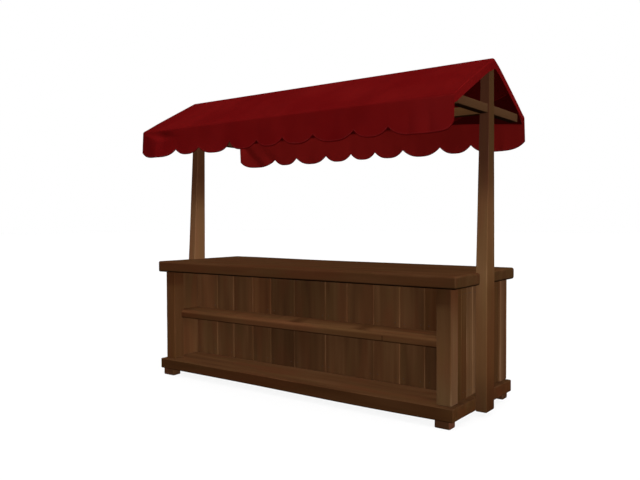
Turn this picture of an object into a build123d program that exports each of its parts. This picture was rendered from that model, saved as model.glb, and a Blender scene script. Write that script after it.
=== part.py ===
from build123d import *
import os

# Wooden market stall. Millimetres, +Z up, ground at Z = 0.
# X runs along the counter, Y from the open shelf side (-Y) to the boarded back (+Y).

# ---- counter, base and feet ----
COUNTER_LENGTH = 2720
COUNTER_DEPTH = 974
COUNTER_TOP_Z = 950
COUNTER_THICK = 81
COUNTER_BEVEL = 13
COUNTER_NOTCH_GAP = 14      # clear of the tall post, front and back

BASE_END_INSET = 18         # behind the counter's edge
BASE_SIDE_INSET = 4
BASE_THICK = 78
BASE_BEVEL = 11
BASE_NOTCH_GAP = 38

FOOT_HEIGHT = 60
FOOT_LENGTH = 100
FOOT_DEPTH = 84
FOOT_END_INSET = 29         # behind the base's edge
FOOT_FRONT_INSET = 14
FOOT_BACK_INSET = 0

# ---- body between base and counter ----
END_OVERHANG = 54           # counter beyond the corner posts
FRONT_OVERHANG = 45
BACK_OVERHANG = 2
CORNER_LENGTH = 97
CORNER_DEPTH = 103
BACK_BOARD_THICK = 24
END_BOARD_THICK = 20
END_BOARD_RECESS = 8
INNER_PANEL_SETBACK = 322   # behind the corner posts' front faces
INNER_PANEL_THICK = 22

SHELF_HEIGHT = 403          # top of the shelf above the base
SHELF_THICK = 64
SHELF_SETBACK = 74
CLEAT_WIDTH = 28
CLEAT_HEIGHT = 34

# ---- tall posts: straight to the counter, leaning in above it ----
POST_BOTTOM_Z = 35
POST_STANDOFF = 22          # inner face beyond the corner posts
POST_WIDTH_LOW = 72
POST_WIDTH_RIDGE = 58
POST_BACK_Y_LOW = 22
POST_DEPTH_LOW = 125
POST_BACK_Y_RIDGE = 36
POST_DEPTH_RIDGE = 66

# ---- beams under the canopy ----
TIE_DROP = 46               # underside below the eave line
TIE_HEIGHT = 60
TIE_THICK = 61
TIE_INNER_PROUD = 6         # inner face inside the post's
TIE_LAP = 27                # housing cut into the post's inner side
TIE_END_GAP = 94            # end behind the eave line
CENTRE_RAIL_WIDTH = 60
RIDGE_RAIL_WIDTH = 46
RIDGE_RAIL_HEIGHT = 52

# ---- canopy ----
CANOPY_END_OVERHANG = 6     # beyond the tall posts' widest part
CANOPY_DEPTH = 1168
EAVE_Z = 2036
RIDGE_RISE = 312
CLOTH = 6
VALANCE_DROP = 172          # eave down to where two scallops meet
SCALLOP_DEPTH = 51
VALANCE_FLARE = 16
GABLE_HEM_RIDGE = 82
GABLE_HEM_EAVE = 68
SCALLOP_MIDDLE = 240        # the middle scallop, then outwards; the end one takes the rest
SCALLOP_SECOND = 268
SCALLOP_THIRD = 332
SCALLOP_FOURTH = 260
FRONT_SCALLOP_SHIFT = -22

# ---- derived places ----
BASE_TOP_Z = FOOT_HEIGHT + BASE_THICK
COUNTER_UNDER_Z = COUNTER_TOP_Z - COUNTER_THICK
BASE_LENGTH = COUNTER_LENGTH - 2 * BASE_END_INSET
BASE_DEPTH = COUNTER_DEPTH - 2 * BASE_SIDE_INSET
BODY_END_X = COUNTER_LENGTH / 2 - END_OVERHANG
BODY_FRONT_Y = -COUNTER_DEPTH / 2 + FRONT_OVERHANG
BODY_BACK_Y = COUNTER_DEPTH / 2 - BACK_OVERHANG
CORNER_BACK_Y = BODY_BACK_Y - BACK_BOARD_THICK
CORNER_INNER_X = BODY_END_X - CORNER_LENGTH
END_OUTER_X = BODY_END_X - END_BOARD_RECESS
END_INNER_X = END_OUTER_X - END_BOARD_THICK
INNER_PANEL_Y = BODY_FRONT_Y + INNER_PANEL_SETBACK
SHELF_TOP_Z = BASE_TOP_Z + SHELF_HEIGHT
SHELF_UNDER_Z = SHELF_TOP_Z - SHELF_THICK

POST_INNER_X = BODY_END_X + POST_STANDOFF
POST_OUTER_X = POST_INNER_X + POST_WIDTH_LOW
POST_FRONT_Y_LOW = POST_BACK_Y_LOW - POST_DEPTH_LOW
RIDGE_Z = EAVE_Z + RIDGE_RISE
CANOPY_END_X = POST_OUTER_X + CANOPY_END_OVERHANG
EAVE_Y = CANOPY_DEPTH / 2
PITCH = RIDGE_RISE / EAVE_Y
CLOTH_DROP = CLOTH * (1 + PITCH * PITCH) ** 0.5
VALANCE_CUSP_Z = EAVE_Z - VALANCE_DROP
VALANCE_LOW_Z = VALANCE_CUSP_Z - SCALLOP_DEPTH
TIE_UNDER_Z = EAVE_Z - TIE_DROP
TIE_TOP_Z = TIE_UNDER_Z + TIE_HEIGHT
TIE_INNER_X = POST_INNER_X - TIE_INNER_PROUD


def block(x0, x1, y0, y1, z0, z1):
    return Pos((x0 + x1) / 2, (y0 + y1) / 2, (z0 + z1) / 2) * Box(x1 - x0, y1 - y0, z1 - z0)


def prism_along_x(points, x0, x1):
    """Solid from (y, z) points, running from x0 to x1."""
    wire = Polyline(*[(x0, y, z) for y, z in points], close=True)
    return extrude(make_face(wire), amount=x1 - x0, dir=(1, 0, 0))


def mirrored(shape):
    return mirror(shape, about=Plane.YZ)


def canopy_under(y):
    """Height of the cloth's underside over y."""
    return RIDGE_Z - CLOTH_DROP - PITCH * abs(y)


def post_faces(z):
    """Outer x, front y and back y of the right tall post at height z."""
    t = max(0, (z - COUNTER_TOP_Z) / (RIDGE_Z - COUNTER_TOP_Z))
    width = POST_WIDTH_LOW + (POST_WIDTH_RIDGE - POST_WIDTH_LOW) * t
    depth = POST_DEPTH_LOW + (POST_DEPTH_RIDGE - POST_DEPTH_LOW) * t
    back = POST_BACK_Y_LOW + (POST_BACK_Y_RIDGE - POST_BACK_Y_LOW) * t
    return POST_INNER_X + width, back - depth, back


def notched_slab(length, depth, z0, z1, bevel, notch_gap):
    """Bevelled slab with an open notch at each end for the tall post."""
    slab = Pos(0, 0, (z0 + z1) / 2) * Box(length, depth, z1 - z0)
    slab = chamfer(slab.edges(), bevel)
    notch = block(POST_INNER_X, length, POST_FRONT_Y_LOW - notch_gap,
                  POST_BACK_Y_LOW + notch_gap, z0 - 1, z1 + 1)
    return slab - notch - mirrored(notch)


def post_section(z):
    outer, front, back = post_faces(z)
    corners = [(POST_INNER_X, front, z), (outer, front, z), (outer, back, z),
               (POST_INNER_X, back, z)]
    return make_face(Polyline(*corners, close=True))


def tall_post_right():
    """Post with a housing for the tie beam and a top cut to the canopy's pitch."""
    low = block(POST_INNER_X, POST_OUTER_X, POST_FRONT_Y_LOW, POST_BACK_Y_LOW,
                POST_BOTTOM_Z, COUNTER_TOP_Z)
    high = loft([post_section(COUNTER_TOP_Z), post_section(RIDGE_Z)], ruled=True)
    side = EAVE_Y / 2
    above_cloth = prism_along_x([(-side, canopy_under(side)), (0, canopy_under(0)),
                                 (side, canopy_under(side)), (side, RIDGE_Z + side),
                                 (-side, RIDGE_Z + side)], POST_INNER_X - 1, POST_OUTER_X + 1)
    housing = block(POST_INNER_X - 1, POST_INNER_X + TIE_LAP, -EAVE_Y, EAVE_Y,
                    TIE_UNDER_Z, TIE_TOP_Z)
    return low + high - above_cloth - housing


def scallop_cutter(shift, y0, y1):
    """Everything below a valance's scalloped lower edge, between y0 and y1."""
    cusps = [SCALLOP_MIDDLE / 2]
    for width in (SCALLOP_SECOND, SCALLOP_THIRD, SCALLOP_FOURTH):
        cusps.append(cusps[-1] + width)
    inner = [-x + shift for x in reversed(cusps)] + [x + shift for x in cusps]
    ends = [-CANOPY_END_X] + inner + [CANOPY_END_X]
    shoulder = VALANCE_LOW_Z + SCALLOP_DEPTH * 0.16
    below = VALANCE_LOW_Z - SCALLOP_DEPTH
    edge = []
    for x0, x1 in zip(ends[:-1], ends[1:]):
        quarter = (x1 - x0) / 4
        edge.append(Spline((x0, y0, VALANCE_CUSP_Z), (x0 + quarter, y0, shoulder),
                           ((x0 + x1) / 2, y0, VALANCE_LOW_Z), (x1 - quarter, y0, shoulder),
                           (x1, y0, VALANCE_CUSP_Z)))
    edge += [Line((CANOPY_END_X, y0, VALANCE_CUSP_Z), (CANOPY_END_X, y0, below)),
             Line((CANOPY_END_X, y0, below), (-CANOPY_END_X, y0, below)),
             Line((-CANOPY_END_X, y0, below), (-CANOPY_END_X, y0, VALANCE_CUSP_Z))]
    return extrude(make_face(edge), amount=y1 - y0, dir=(0, 1, 0))


def canopy():
    """One cloth: two slopes, two hanging valances and a turned-down hem at each gable."""
    foot_y = EAVE_Y + VALANCE_FLARE
    inner_y = EAVE_Y - CLOTH
    inner_z = canopy_under(inner_y)
    half = [(foot_y, VALANCE_LOW_Z), (EAVE_Y, EAVE_Z), (0, RIDGE_Z)]
    lining = [(foot_y - CLOTH, VALANCE_LOW_Z), (inner_y, inner_z), (0, canopy_under(0))]
    outline = half + [(-y, z) for y, z in reversed(half[:-1])] \
        + [(-y, z) for y, z in lining] + list(reversed(lining[:-1]))
    cloth = prism_along_x(outline, -CANOPY_END_X, CANOPY_END_X)
    cloth -= scallop_cutter(FRONT_SCALLOP_SHIFT, -2 * EAVE_Y, 0)
    cloth -= scallop_cutter(0, 0, 2 * EAVE_Y)
    hem = [(-EAVE_Y, EAVE_Z), (0, RIDGE_Z), (EAVE_Y, EAVE_Z), (EAVE_Y, EAVE_Z - GABLE_HEM_EAVE),
           (0, RIDGE_Z - GABLE_HEM_RIDGE), (-EAVE_Y, EAVE_Z - GABLE_HEM_EAVE)]
    strip = prism_along_x(hem, CANOPY_END_X - CLOTH, CANOPY_END_X)
    return cloth + strip + mirrored(strip)


nodes = {}
nodes["counter_top"] = notched_slab(COUNTER_LENGTH, COUNTER_DEPTH, COUNTER_UNDER_Z,
                                    COUNTER_TOP_Z, COUNTER_BEVEL, COUNTER_NOTCH_GAP)
nodes["base_slab"] = notched_slab(BASE_LENGTH, BASE_DEPTH, FOOT_HEIGHT, BASE_TOP_Z,
                                  BASE_BEVEL, BASE_NOTCH_GAP)

foot_x = BASE_LENGTH / 2 - FOOT_END_INSET
foot_front = -BASE_DEPTH / 2 + FOOT_FRONT_INSET
foot_back = BASE_DEPTH / 2 - FOOT_BACK_INSET
front_foot = block(foot_x - FOOT_LENGTH, foot_x, foot_front, foot_front + FOOT_DEPTH,
                   0, FOOT_HEIGHT)
back_foot = block(foot_x - FOOT_LENGTH, foot_x, foot_back - FOOT_DEPTH, foot_back,
                  0, FOOT_HEIGHT)
nodes["foot_front_right"] = front_foot
nodes["foot_front_left"] = mirrored(front_foot)
nodes["foot_back_right"] = back_foot
nodes["foot_back_left"] = mirrored(back_foot)

front_corner = block(CORNER_INNER_X, BODY_END_X, BODY_FRONT_Y, BODY_FRONT_Y + CORNER_DEPTH,
                     BASE_TOP_Z, COUNTER_UNDER_Z)
back_corner = block(CORNER_INNER_X, BODY_END_X, CORNER_BACK_Y - CORNER_DEPTH, CORNER_BACK_Y,
                    BASE_TOP_Z, COUNTER_UNDER_Z)
nodes["corner_post_front_right"] = front_corner
nodes["corner_post_front_left"] = mirrored(front_corner)
nodes["corner_post_back_right"] = back_corner
nodes["corner_post_back_left"] = mirrored(back_corner)

end_panel = block(END_INNER_X, END_OUTER_X, BODY_FRONT_Y + CORNER_DEPTH,
                  CORNER_BACK_Y - CORNER_DEPTH, BASE_TOP_Z, COUNTER_UNDER_Z)
nodes["end_panel_right"] = end_panel
nodes["end_panel_left"] = mirrored(end_panel)
nodes["back_panel"] = block(-BODY_END_X, BODY_END_X, CORNER_BACK_Y, BODY_BACK_Y,
                            BASE_TOP_Z, COUNTER_UNDER_Z)
nodes["inner_panel"] = block(-END_INNER_X, END_INNER_X, INNER_PANEL_Y,
                             INNER_PANEL_Y + INNER_PANEL_THICK, BASE_TOP_Z, COUNTER_UNDER_Z)

shelf = block(-END_INNER_X, END_INNER_X, BODY_FRONT_Y + SHELF_SETBACK, INNER_PANEL_Y,
              SHELF_UNDER_Z, SHELF_TOP_Z)
nodes["shelf"] = shelf - front_corner - mirrored(front_corner)
nodes["shelf_cleat"] = block(-END_INNER_X, END_INNER_X, INNER_PANEL_Y - CLEAT_WIDTH,
                             INNER_PANEL_Y, SHELF_UNDER_Z - CLEAT_HEIGHT, SHELF_UNDER_Z)

tall_post = tall_post_right()
tie_beam = block(TIE_INNER_X, TIE_INNER_X + TIE_THICK, -EAVE_Y + TIE_END_GAP,
                 EAVE_Y - TIE_END_GAP, TIE_UNDER_Z, TIE_TOP_Z) - tall_post
nodes["tall_post_right"] = tall_post
nodes["tall_post_left"] = mirrored(tall_post)
nodes["tie_beam_right"] = tie_beam
nodes["tie_beam_left"] = mirrored(tie_beam)

_, post_front, post_back = post_faces((TIE_UNDER_Z + TIE_TOP_Z) / 2)
rail_y = (post_front + post_back) / 2
nodes["centre_rail"] = block(-TIE_INNER_X, TIE_INNER_X, rail_y - CENTRE_RAIL_WIDTH / 2,
                             rail_y + CENTRE_RAIL_WIDTH / 2, TIE_UNDER_Z, TIE_TOP_Z)
rail_half = RIDGE_RAIL_WIDTH / 2
rail_under = canopy_under(0) - RIDGE_RAIL_HEIGHT
nodes["ridge_rail"] = prism_along_x([(-rail_half, rail_under), (rail_half, rail_under),
                                     (rail_half, canopy_under(rail_half)),
                                     (0, canopy_under(0)),
                                     (-rail_half, canopy_under(rail_half))],
                                    -POST_INNER_X, POST_INNER_X)
nodes["canopy"] = canopy()

os.makedirs("parts", exist_ok=True)
for name, shape in nodes.items():
    export_step(shape, f"parts/{name}.step")
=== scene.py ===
import math
import random

import bmesh
import bpy
from mathutils import Matrix, Vector, noise


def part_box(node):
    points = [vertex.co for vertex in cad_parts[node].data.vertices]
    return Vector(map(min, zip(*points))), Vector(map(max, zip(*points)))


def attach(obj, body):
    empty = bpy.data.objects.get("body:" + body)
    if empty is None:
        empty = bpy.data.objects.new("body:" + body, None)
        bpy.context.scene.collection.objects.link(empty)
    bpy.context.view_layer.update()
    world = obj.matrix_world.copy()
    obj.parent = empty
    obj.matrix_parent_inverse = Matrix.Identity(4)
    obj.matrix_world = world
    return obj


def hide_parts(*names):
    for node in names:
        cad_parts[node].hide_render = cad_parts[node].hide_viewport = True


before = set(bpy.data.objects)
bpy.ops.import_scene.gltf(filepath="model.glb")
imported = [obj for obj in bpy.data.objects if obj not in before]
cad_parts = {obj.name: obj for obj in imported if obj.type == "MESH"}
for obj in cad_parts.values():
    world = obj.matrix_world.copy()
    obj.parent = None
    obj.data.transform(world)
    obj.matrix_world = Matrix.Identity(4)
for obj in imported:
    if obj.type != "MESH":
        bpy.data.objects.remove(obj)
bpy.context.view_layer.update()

cad_box = {name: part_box(name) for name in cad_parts}


def spans(node):
    low, high = cad_box[node]
    return (low.x, high.x), (low.y, high.y), (low.z, high.z)


def between(start, end, share):
    return start + (end - start) * share


def neighbours(items):
    return zip(items, items[1:])


def bump_at(value, centre, spread):
    """1 at the centre, falling away to 0 on both sides."""
    return math.exp(-((value - centre) / spread) ** 2)


def smooth(share):
    """Eases from 0 to 1, and holds past both."""
    share = min(1.0, max(0.0, share))
    return share * share * (3 - 2 * share)


# ---------------------------------------------------------------- node trees

class Wire:
    """One output socket. Arithmetic on it adds Math nodes to its tree."""

    def __init__(self, bench, socket):
        self.bench = bench
        self.socket = socket

    def math(self, operation, *terms):
        return self.bench.add("ShaderNodeMath", {"operation": operation}, dict(enumerate(terms)))

    def __add__(self, other):
        return self.math("ADD", self, other)

    __radd__ = __add__

    def __sub__(self, other):
        return self.math("SUBTRACT", self, other)

    def __rsub__(self, other):
        return self.math("SUBTRACT", other, self)

    def __mul__(self, other):
        return self.math("MULTIPLY", self, other)

    __rmul__ = __mul__

    def above(self, start, end):
        """0 below start, 1 above end, smooth between."""
        sockets = {"Value": self, "From Min": start, "From Max": end}
        return self.bench.add("ShaderNodeMapRange", {"interpolation_type": "SMOOTHSTEP"}, sockets)

    def beside(self, name):
        """Another output of the same node."""
        return Wire(self.bench, self.socket.node.outputs[name])


class Bench:
    """Adds nodes to one tree: a type, its settings, then the values or wires of its sockets."""

    def __init__(self, tree):
        self.tree = tree

    def add(self, kind, settings=None, sockets=None, out=0):
        node = self.tree.nodes.new(kind)
        for name, value in (settings or {}).items():
            if name == "stops":
                self.set_stops(node.color_ramp, value)
            else:
                setattr(node, name, value)
        for key, value in (sockets or {}).items():
            self.feed(node.inputs[key], value)
        return Wire(self, node.outputs[out]) if node.outputs else node

    def feed(self, socket, value):
        if isinstance(value, Wire):
            self.tree.links.new(value.socket, socket)
        else:
            socket.default_value = value

    def set_stops(self, ramp, stops):
        while len(ramp.elements) < len(stops):
            ramp.elements.new(1.0)
        for element, (position, colour) in zip(ramp.elements, stops):
            element.position, element.color = position, colour

    def attribute(self, name, out="Fac"):
        return self.add("ShaderNodeAttribute", {"attribute_name": name}, out=out)

    def vector(self, operation, first, second):
        return self.add("ShaderNodeVectorMath", {"operation": operation}, {0: first, 1: second})

    def noise(self, spot, scale, detail=2.0, rough=0.5, out="Fac"):
        sockets = {"Vector": spot, "Scale": scale, "Detail": detail, "Roughness": rough}
        return self.add("ShaderNodeTexNoise", {}, sockets, out)

    def blend(self, factor, first, second, mode="MIX"):
        settings = {"data_type": "RGBA", "blend_type": mode}
        return self.add("ShaderNodeMix", settings, {0: factor, 6: first, 7: second}, 2)

    def times(self, colour, tint):
        return self.blend(1.0, colour, tint, "MULTIPLY")

    def looked_at(self):
        """1 for the rays of the camera, of gloss and of glass, 0 for light that falls on the stall."""
        seen, gloss, clear = (self.add("ShaderNodeLightPath", out=f"Is {kind} Ray")
                              for kind in ("Camera", "Glossy", "Transmission"))
        return seen.math("MAXIMUM", seen, gloss.math("MAXIMUM", gloss, clear))


def srgb(red, green, blue):
    """A colour given as 0-255 screen values, as the linear values that nodes take."""
    linear = []
    for value in (red, green, blue):
        share = value / 255
        linear.append(share / 12.92 if share <= 0.04045 else ((share + 0.055) / 1.055) ** 2.4)
    return (*linear, 1.0)


class Finish(Bench):
    """A material with one Principled shader."""

    def __init__(self, name, specular=0.0):
        self.material = bpy.data.materials.new(name)
        self.material.use_nodes = True
        self.material.node_tree.nodes.clear()
        super().__init__(self.material.node_tree)
        shader = self.add("ShaderNodeBsdfPrincipled", {}, {"Specular IOR Level": specular})
        self.shader = shader.socket.node
        self.add("ShaderNodeOutputMaterial", {}, {"Surface": shader})

    def set(self, socket, value):
        self.feed(self.shader.inputs[socket], value)

    def bump(self, height, distance, strength=1.0):
        sockets = {"Height": height, "Distance": distance, "Strength": strength}
        self.set("Normal", self.add("ShaderNodeBump", {}, sockets))


# ---------------------------------------------------------------- materials

CLOTH_MAP = 3.2          # metres of flat cloth from side to side of its map
THREADS = 95.0           # scale of the weave's waves


def stained_wood(name, figure, wear, *tones):
    """Dark stained timber. grain is each timber's own place, its length last; stain multiplies it.

    figure is how strongly the grain shows and wear how far the edges are rubbed. The tones are the
    dark, middle and pale of the grain, the reddish and olive patches, and the rubbed edges.
    """
    dark, middle, pale, red, olive, worn = (srgb(*tone) for tone in tones)
    finish = Finish(name)
    grain = finish.attribute("grain", "Vector")
    stain = finish.attribute("stain", "Vector")

    def drawn_out(spot, lengthways, scale, detail, rough=0.5):
        return finish.noise(finish.vector("MULTIPLY", spot, (1.0, 1.0, lengthways)), scale, detail, rough)

    sway = finish.noise(finish.vector("MULTIPLY", grain, (2.5, 2.5, 0.9)), 1.0, out="Color")
    bent = finish.vector("ADD", grain, finish.vector("MULTIPLY", sway, (0.035, 0.035, 0.0)))
    broad = drawn_out(bent, 0.11, 13.0, 1.0, 0.4)
    bands = drawn_out(bent, 0.05, 31.0, 1.0, 0.4)
    streaks = drawn_out(bent, 0.02, 90.0, 2.0)
    fibres = drawn_out(bent, 0.02, 260.0, 2.0, 0.6)
    depth = 0.5 + (broad - 0.5) * figure + (bands - 0.5) * (0.5 * figure) + (streaks - 0.5) * 0.09
    stops = [(0.28, dark), (0.50, middle), (0.72, pale)]
    colour = finish.add("ShaderNodeValToRGB", {"stops": stops}, {"Fac": depth})
    cool = drawn_out(grain, 0.15, 12.0, 1.0).above(0.50, 0.66)
    warm = drawn_out(grain, 0.22, 8.0, 1.0).above(0.48, 0.66)
    colour = finish.blend(cool * 0.45, colour, olive)
    colour = finish.blend(warm * 0.50, colour, red)
    colour = finish.times(finish.times(colour, 0.95 + 0.10 * fibres), stain)
    rubbed = finish.attribute("edge") * drawn_out(grain, 0.2, 12.0, 2.0).above(0.47, 0.64)
    finish.set("Base Color", finish.blend(rubbed * wear, colour, finish.times(worn, stain)))
    finish.set("Roughness", 0.80 + 0.14 * fibres)
    finish.bump(fibres * 0.35 + streaks * 0.65, 0.0016, 0.5)
    return finish.material


def woven_canvas(name):
    """Matt red canvas, by the flat cloth's own map. The hem, the painted highlight, the inside faces and
    the painted shade (painted light where below 0) come from the mesh.
    """
    finish = Finish(name)
    flat = finish.add("ShaderNodeUVMap", {"uv_map": "cloth"})
    spot = finish.vector("MULTIPLY", flat, (CLOTH_MAP, CLOTH_MAP, 0.0))
    broad = finish.noise(spot, 2.2)
    soft = finish.noise(spot, 9.0, 3.0)
    bands = finish.noise(finish.vector("MULTIPLY", spot, (1.0, 0.22, 1.0)), 5.0, 1.0).above(0.36, 0.64)
    slub = finish.noise(finish.vector("MULTIPLY", spot, (0.05, 1.0, 1.0)), 420.0)
    warp, weft = (finish.add("ShaderNodeTexWave", {"bands_direction": way},
                             {"Vector": spot, "Scale": THREADS}) for way in "XY")
    hem = finish.attribute("hem")
    inside = finish.attribute("inside")
    colour = finish.blend(broad.above(0.30, 0.70), srgb(91, 9, 10), srgb(98, 13, 13))
    colour = finish.blend(soft.above(0.42, 0.75) * 0.35, colour, srgb(88, 10, 12))
    # painted highlight: the canvas is lighter where the mesh marks it
    colour = finish.blend(finish.attribute("faded") * 0.45, colour, srgb(114, 22, 22))
    colour = finish.blend(hem * 0.30, colour, srgb(92, 8, 10))
    # the inner faces are painted a lighter red: painted light against the shade under the canopy
    colour = finish.blend(inside, colour, finish.blend(soft, srgb(111, 19, 17), srgb(118, 22, 20)))
    # painted shade on the inner faces, from the shade attribute; where that is below 0 it is painted
    # light
    painted_inner_shading = 1.0 - inside * finish.attribute("shade")
    # painted shade: a dark line in the last few millimetres above the scalloped edge
    rim = 1.0 - 0.5 * hem.above(0.50, 0.85)
    tint = painted_inner_shading * rim * (0.94 + 0.08 * bands) * (0.95 + 0.10 * slub)
    finish.set("Base Color", finish.times(colour, tint))
    finish.set("Roughness", 0.86 + 0.08 * soft)
    finish.bump(warp * weft * 0.5 + slub * 0.3 + soft * 0.6, 0.0012, 0.5)
    return finish.material


def forged_iron(name):
    finish = Finish(name, 0.35)
    rust = finish.noise(finish.add("ShaderNodeTexCoord", out="Object"), 160.0, 3.0)
    finish.set("Base Color", finish.blend(rust.above(0.4, 0.7), srgb(38, 28, 24), srgb(66, 40, 27)))
    finish.set("Metallic", 0.6 - 0.4 * rust)
    finish.set("Roughness", 0.55 + 0.3 * rust)
    finish.bump(rust, 0.0004)
    return finish.material


def hem_thread(name):
    finish = Finish(name, 0.2)
    twist = finish.noise(finish.add("ShaderNodeTexCoord", out="Object"), 900.0, 1.0)
    finish.set("Base Color", finish.blend(twist, srgb(92, 10, 12), srgb(124, 22, 22)))
    finish.set("Roughness", 0.75 + 0.1 * twist)
    return finish.material


def studio_floor(name):
    """Pale floor that keeps the shadow; to the camera and to gloss it reaches white."""
    finish = Finish(name)
    white = finish.looked_at()
    finish.set("Roughness", 0.9)
    finish.set("Base Color", finish.blend(white, (0.05, 0.05, 0.05, 1), (0.30, 0.30, 0.30, 1)))
    finish.set("Emission Color", finish.blend(white, (0, 0, 0, 1), (0.66, 0.66, 0.66, 1)))
    finish.set("Emission Strength", 1.0)
    return finish.material


WOOD = {
    "counter_wood": stained_wood("counter_wood", 0.60, 0.25, (61, 36, 19), (71, 43, 23), (79, 50, 29),
                                 (74, 39, 21), (70, 46, 24), (92, 61, 38)),
    "board_wood": stained_wood("board_wood", 0.60, 0.45, (65, 41, 24), (78, 51, 30), (92, 62, 39),
                               (83, 49, 29), (77, 54, 31), (106, 75, 50)),
    "frame_wood": stained_wood("frame_wood", 0.32, 0.35, (84, 54, 31), (96, 64, 39), (107, 74, 47),
                               (98, 60, 38), (94, 66, 38), (122, 88, 62)),
}
CANVAS = woven_canvas("canopy_canvas")
IRON = forged_iron("nail_iron")
THREAD = hem_thread("hem_thread")
FLOOR = studio_floor("studio_floor")


# ---------------------------------------------------------------- meshes

ACROSS = {"x": (0, 1, 2), "y": (1, 2, 0), "z": (2, 0, 1)}   # along, then the two ways across
TOUCHING = 2e-6                 # corners this close become one
SHARP = math.radians(38)        # edges that turn more than this are bevelled


def link(name, data):
    piece = bpy.data.objects.new(name, data)
    bpy.context.scene.collection.objects.link(piece)
    return piece


def drop(piece):
    mesh = piece.data
    bpy.data.objects.remove(piece)
    bpy.data.meshes.remove(mesh)


def from_bmesh(name, bm):
    mesh = bpy.data.meshes.new(name)
    bm.to_mesh(mesh)
    bm.free()
    return link(name, mesh)


def settled(piece):
    """The piece as a plain mesh, its modifiers worked in."""
    bpy.context.view_layer.update()
    graph = bpy.context.evaluated_depsgraph_get()
    mesh = bpy.data.meshes.new_from_object(piece.evaluated_get(graph), depsgraph=graph)
    name = piece.name
    drop(piece)
    mesh.name = name
    return link(name, mesh)


def write(mesh, name, values, domain="POINT"):
    """Writes one value, or a vector's three in a row, for each point, edge or face."""
    holders = {"POINT": mesh.vertices, "EDGE": mesh.edges, "FACE": mesh.polygons}[domain]
    vectors = len(values) > len(holders)
    layer = mesh.attributes.new(name, "FLOAT_VECTOR" if vectors else "FLOAT", domain)
    layer.data.foreach_set("vector" if vectors else "value", values)


def loft(bm, rings):
    """Skins closed rings of the same count, capped at both ends."""
    rows = [[bm.verts.new(point) for point in ring] for ring in rings]
    for near, far in neighbours(rows):
        for i in range(len(near)):
            j = (i + 1) % len(near)
            bm.faces.new((near[i], near[j], far[j], far[i]))
    bm.faces.new(rows[0][::-1])
    bm.faces.new(rows[-1])


def solid(name, loops):
    """An object from one or more lofts, whose rings may share corners, which are joined."""
    bm = bmesh.new()
    for rings in loops:
        loft(bm, rings)
    bmesh.ops.remove_doubles(bm, verts=bm.verts, dist=TOUCHING)
    bmesh.ops.dissolve_degenerate(bm, dist=TOUCHING, edges=bm.edges)
    bmesh.ops.recalc_face_normals(bm, faces=bm.faces)
    return from_bmesh(name, bm)


def turned(name, sides, profile):
    """A small smooth object, round about Z, from the radius and height of each ring."""
    bm = bmesh.new()
    angles = [k * math.pi / (sides // 2) for k in range(sides)]
    loft(bm, [[Vector((radius * math.cos(angle), radius * math.sin(angle), height)) for angle in angles]
              for radius, height in profile])
    piece = from_bmesh(name, bm)
    piece.data.shade_smooth()
    return piece


def ring_at(axis, at, u, v):
    """A timber's four corners at one place along it, from its spans each way across."""
    along, across, up = ACROSS[axis]
    ring = []
    for j, k in ((0, 0), (1, 0), (1, 1), (0, 1)):
        point = Vector()
        point[along], point[across], point[up] = at, u[j], v[k]
        ring.append(point)
    return ring


def hewn(axis, stations, wobble, seed, pitch=0.14):
    """Rings for a timber whose faces wander inward by up to wobble, as planed by hand.

    A station is a place along the timber with its spans each way across. Two at one place make a
    step, and the faces don't wander between them.
    """
    chance = random.Random(seed)
    filled = []
    for (at, u, v), (to, u2, v2) in neighbours(stations):
        count = max(1, round(abs(to - at) / pitch))
        for t in (k / count for k in range(count)):
            filled.append((between(at, to, t), [between(a, b, t) for a, b in zip(u, u2)],
                           [between(a, b, t) for a, b in zip(v, v2)]))
    filled.append(stations[-1])
    rings = []
    shy = [chance.random() * wobble for _ in range(4)]
    level = None
    for at, u, v in filled:
        fresh = [0.45 * s + 0.55 * chance.random() * wobble for s in shy]
        shy = shy if at == level else fresh
        level = at
        rings.append(ring_at(axis, at, (u[0] + shy[0], u[1] - shy[1]), (v[0] + shy[2], v[1] - shy[3])))
    return rings


def hewn_bar(axis, ends, u, v, wobble, seed, pitch=0.14):
    """Rings for a hewn timber of one section."""
    return hewn(axis, [(at, u, v) for at in ends], wobble, seed, pitch)


def on_side(side, rings):
    """Rings made for the right side, or their mirror image for the left."""
    return rings if side == "right" else [[Vector((-p.x, p.y, p.z)) for p in ring] for ring in rings]


def two_slots(mesh):
    """Leaves every face in the first of two empty material slots."""
    mesh.materials.clear()
    mesh.polygons.foreach_set("material_index", [0] * len(mesh.polygons))
    mesh.materials.append(None)
    mesh.materials.append(None)


def rounded(piece, width, segments=2, share_at=None):
    """Bevels the sharp edges, weights the normals, and marks the bevelled faces as edge.

    share_at gives a sharp edge's share of the width from its two ends; without it, all get the
    whole width.
    """
    mesh = piece.data
    two_slots(mesh)
    bevel = piece.modifiers.new("edges", "BEVEL")
    bevel.width, bevel.segments, bevel.material = width, segments, 1
    bevel.limit_method, bevel.angle_limit = "ANGLE", SHARP
    if share_at:
        bm = bmesh.new()
        bm.from_mesh(mesh)
        shares = []
        for edge in bm.edges:
            first, second = (vert.co for vert in edge.verts)
            shares.append(share_at(first, second) if edge.calc_face_angle(0.0) > SHARP else 0.0)
        bm.free()
        write(mesh, "bevel_weight_edge", shares, "EDGE")
        bevel.limit_method = "WEIGHT"
    mesh.shade_smooth()
    piece.modifiers.new("flats", "WEIGHTED_NORMAL").weight = 60
    piece = settled(piece)
    mesh = piece.data
    write(mesh, "edge", [float(face.material_index == 1) for face in mesh.polygons], "FACE")
    mesh.polygons.foreach_set("material_index", [0] * len(mesh.polygons))
    if share_at:
        mesh.attributes.remove(mesh.attributes["bevel_weight_edge"])
    return piece


def tinted(stain):
    """A stain given as one depth, or as red, green and blue, as three numbers."""
    return (stain, stain, stain) if isinstance(stain, (int, float)) else stain


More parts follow.
